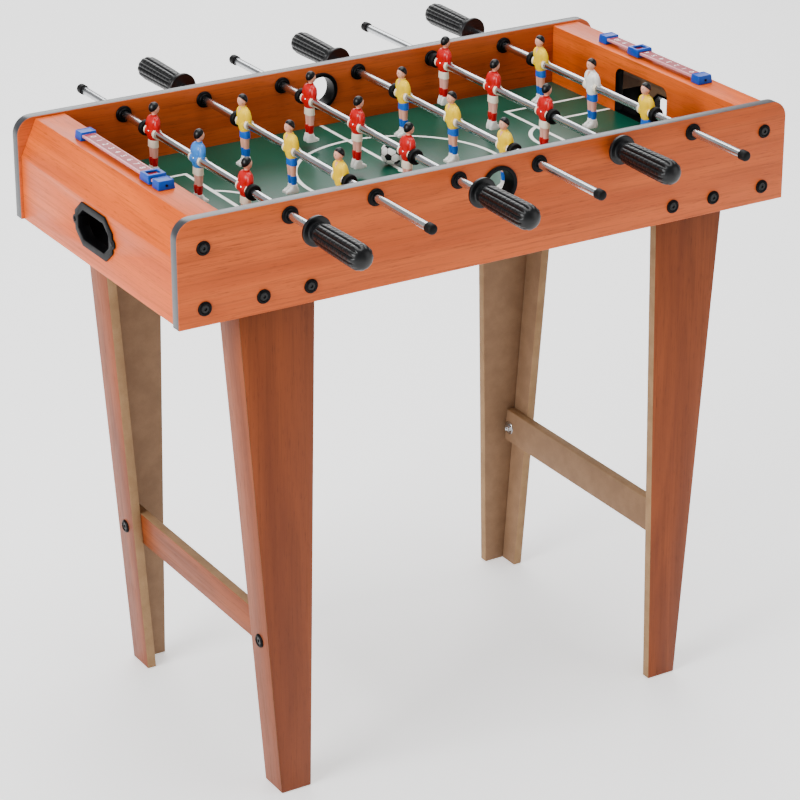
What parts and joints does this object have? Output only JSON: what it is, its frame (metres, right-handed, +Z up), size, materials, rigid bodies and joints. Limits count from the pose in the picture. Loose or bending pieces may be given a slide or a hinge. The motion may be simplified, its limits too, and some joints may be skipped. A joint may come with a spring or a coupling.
{
  "type": "foosball table",
  "caption": "Small foosball table: a wood-grain box on braced L-shaped legs, with sliding and spinning player rods, goals with ball pockets, and bead-style sliding scorers.",
  "frame": {"origin": "on the floor, under the middle of the table", "axes": "+X along the pitch towards the right goal, +Y across it to the far side, +Z up"},
  "size_m": [0.69, 0.6284, 0.6455],
  "materials": {
    "wood": "wood-grain laminate, satin",
    "dark_wood": "wood-grain laminate, satin",
    "pitch": "printed board, satin",
    "black_plastic": "satin black",
    "chrome": "polished",
    "rubber": "matt black",
    "red_shirt": "gloss",
    "yellow_shirt": "gloss",
    "light_blue_shirt": "gloss",
    "white_shirt": "gloss",
    "blue_plastic": "gloss",
    "clear_rail": "clear with a printed strip",
    "ball_plastic": "satin white"
  },
  "bodies": {
    "table": {"near_side_panel": "wood", "far_side_panel": "wood", "left_end_cover": "wood", "right_end_cover": "wood", "left_goal_wall": "wood", "right_goal_wall": "wood", "playfield": "pitch", "near_left_leg": "dark_wood", "near_right_leg": "dark_wood", "far_left_leg": "dark_wood", "far_right_leg": "dark_wood", "left_brace": "dark_wood", "right_brace": "dark_wood", "near_entry_ring": "black_plastic", "far_entry_ring": "black_plastic", "left_ball_pocket": "black_plastic", "right_ball_pocket": "black_plastic", "left_ball_tray": "black_plastic", "right_ball_tray": "black_plastic", "left_scorer_rail": "clear_rail", "right_scorer_rail": "clear_rail"},
    "rod_1_carriage": {"rod_1_end_cap": "rubber"},
    "rod_1_assembly": {"rod_1": "chrome", "rod_1_handle": "black_plastic", "rod_1_far_player": "red_shirt", "rod_1_middle_keeper": "light_blue_shirt", "rod_1_near_player": "red_shirt"},
    "rod_2_carriage": {"rod_2_end_cap": "rubber"},
    "rod_2_assembly": {"rod_2": "chrome", "rod_2_handle": "black_plastic", "rod_2_far_player": "yellow_shirt", "rod_2_middle_player": "yellow_shirt", "rod_2_near_player": "yellow_shirt"},
    "rod_3_carriage": {"rod_3_end_cap": "rubber"},
    "rod_3_assembly": {"rod_3": "chrome", "rod_3_handle": "black_plastic", "rod_3_far_player": "red_shirt", "rod_3_middle_player": "red_shirt", "rod_3_near_player": "red_shirt"},
    "rod_4_carriage": {"rod_4_end_cap": "rubber"},
    "rod_4_assembly": {"rod_4": "chrome", "rod_4_handle": "black_plastic", "rod_4_far_player": "yellow_shirt", "rod_4_middle_player": "yellow_shirt", "rod_4_near_player": "yellow_shirt"},
    "rod_5_carriage": {"rod_5_end_cap": "rubber"},
    "rod_5_assembly": {"rod_5": "chrome", "rod_5_handle": "black_plastic", "rod_5_far_player": "red_shirt", "rod_5_middle_player": "red_shirt", "rod_5_near_player": "red_shirt"},
    "rod_6_carriage": {"rod_6_end_cap": "rubber"},
    "rod_6_assembly": {"rod_6": "chrome", "rod_6_handle": "black_plastic", "rod_6_far_player": "yellow_shirt", "rod_6_middle_keeper": "white_shirt", "rod_6_near_player": "yellow_shirt"},
    "left_score_marker": {"left_scorer_slider": "blue_plastic"},
    "right_score_marker": {"right_scorer_slider": "blue_plastic"},
    "ball": {"football": "ball_plastic"}
  },
  "joints": [
    {"name": "rod_1_slide", "type": "slide", "parent": "table", "child": "rod_1_carriage", "axis": [0, 1, 0], "range_m": [-0.051, 0.043]},
    {"name": "rod_1_spin", "type": "hinge", "parent": "rod_1_carriage", "child": "rod_1_assembly", "pos_m": [-0.22825, 0, 0.615], "axis": [0, 1, 0], "continuous": true},
    {"name": "rod_2_slide", "type": "slide", "parent": "table", "child": "rod_2_carriage", "axis": [0, 1, 0], "range_m": [-0.029, 0.065]},
    {"name": "rod_2_spin", "type": "hinge", "parent": "rod_2_carriage", "child": "rod_2_assembly", "pos_m": [-0.13695, 0, 0.615], "axis": [0, 1, 0], "continuous": true},
    {"name": "rod_3_slide", "type": "slide", "parent": "table", "child": "rod_3_carriage", "axis": [0, 1, 0], "range_m": [-0.059, 0.035]},
    {"name": "rod_3_spin", "type": "hinge", "parent": "rod_3_carriage", "child": "rod_3_assembly", "pos_m": [-0.04565, 0, 0.615], "axis": [0, 1, 0], "continuous": true},
    {"name": "rod_4_slide", "type": "slide", "parent": "table", "child": "rod_4_carriage", "axis": [0, 1, 0], "range_m": [-0.024, 0.07]},
    {"name": "rod_4_spin", "type": "hinge", "parent": "rod_4_carriage", "child": "rod_4_assembly", "pos_m": [0.04565, 0, 0.615], "axis": [0, 1, 0], "continuous": true},
    {"name": "rod_5_slide", "type": "slide", "parent": "table", "child": "rod_5_carriage", "axis": [0, 1, 0], "range_m": [-0.092, 0.002]},
    {"name": "rod_5_spin", "type": "hinge", "parent": "rod_5_carriage", "child": "rod_5_assembly", "pos_m": [0.13695, 0, 0.615], "axis": [0, 1, 0], "continuous": true},
    {"name": "rod_6_slide", "type": "slide", "parent": "table", "child": "rod_6_carriage", "axis": [0, 1, 0], "range_m": [-0.043, 0.051]},
    {"name": "rod_6_spin", "type": "hinge", "parent": "rod_6_carriage", "child": "rod_6_assembly", "pos_m": [0.22825, 0, 0.615], "axis": [0, 1, 0], "continuous": true},
    {"name": "left_score_slide", "type": "slide", "parent": "table", "child": "left_score_marker", "axis": [0, 1, 0], "range_m": [-0.0035, 0.1275]},
    {"name": "right_score_slide", "type": "slide", "parent": "table", "child": "right_score_marker", "axis": [0, 1, 0], "range_m": [-0.0915, 0.0395]},
    {"name": "ball_run", "type": "slide", "parent": "table", "child": "ball", "axis": [0, 1, 0], "range_m": [-0.165, 0.125]}
  ]
}
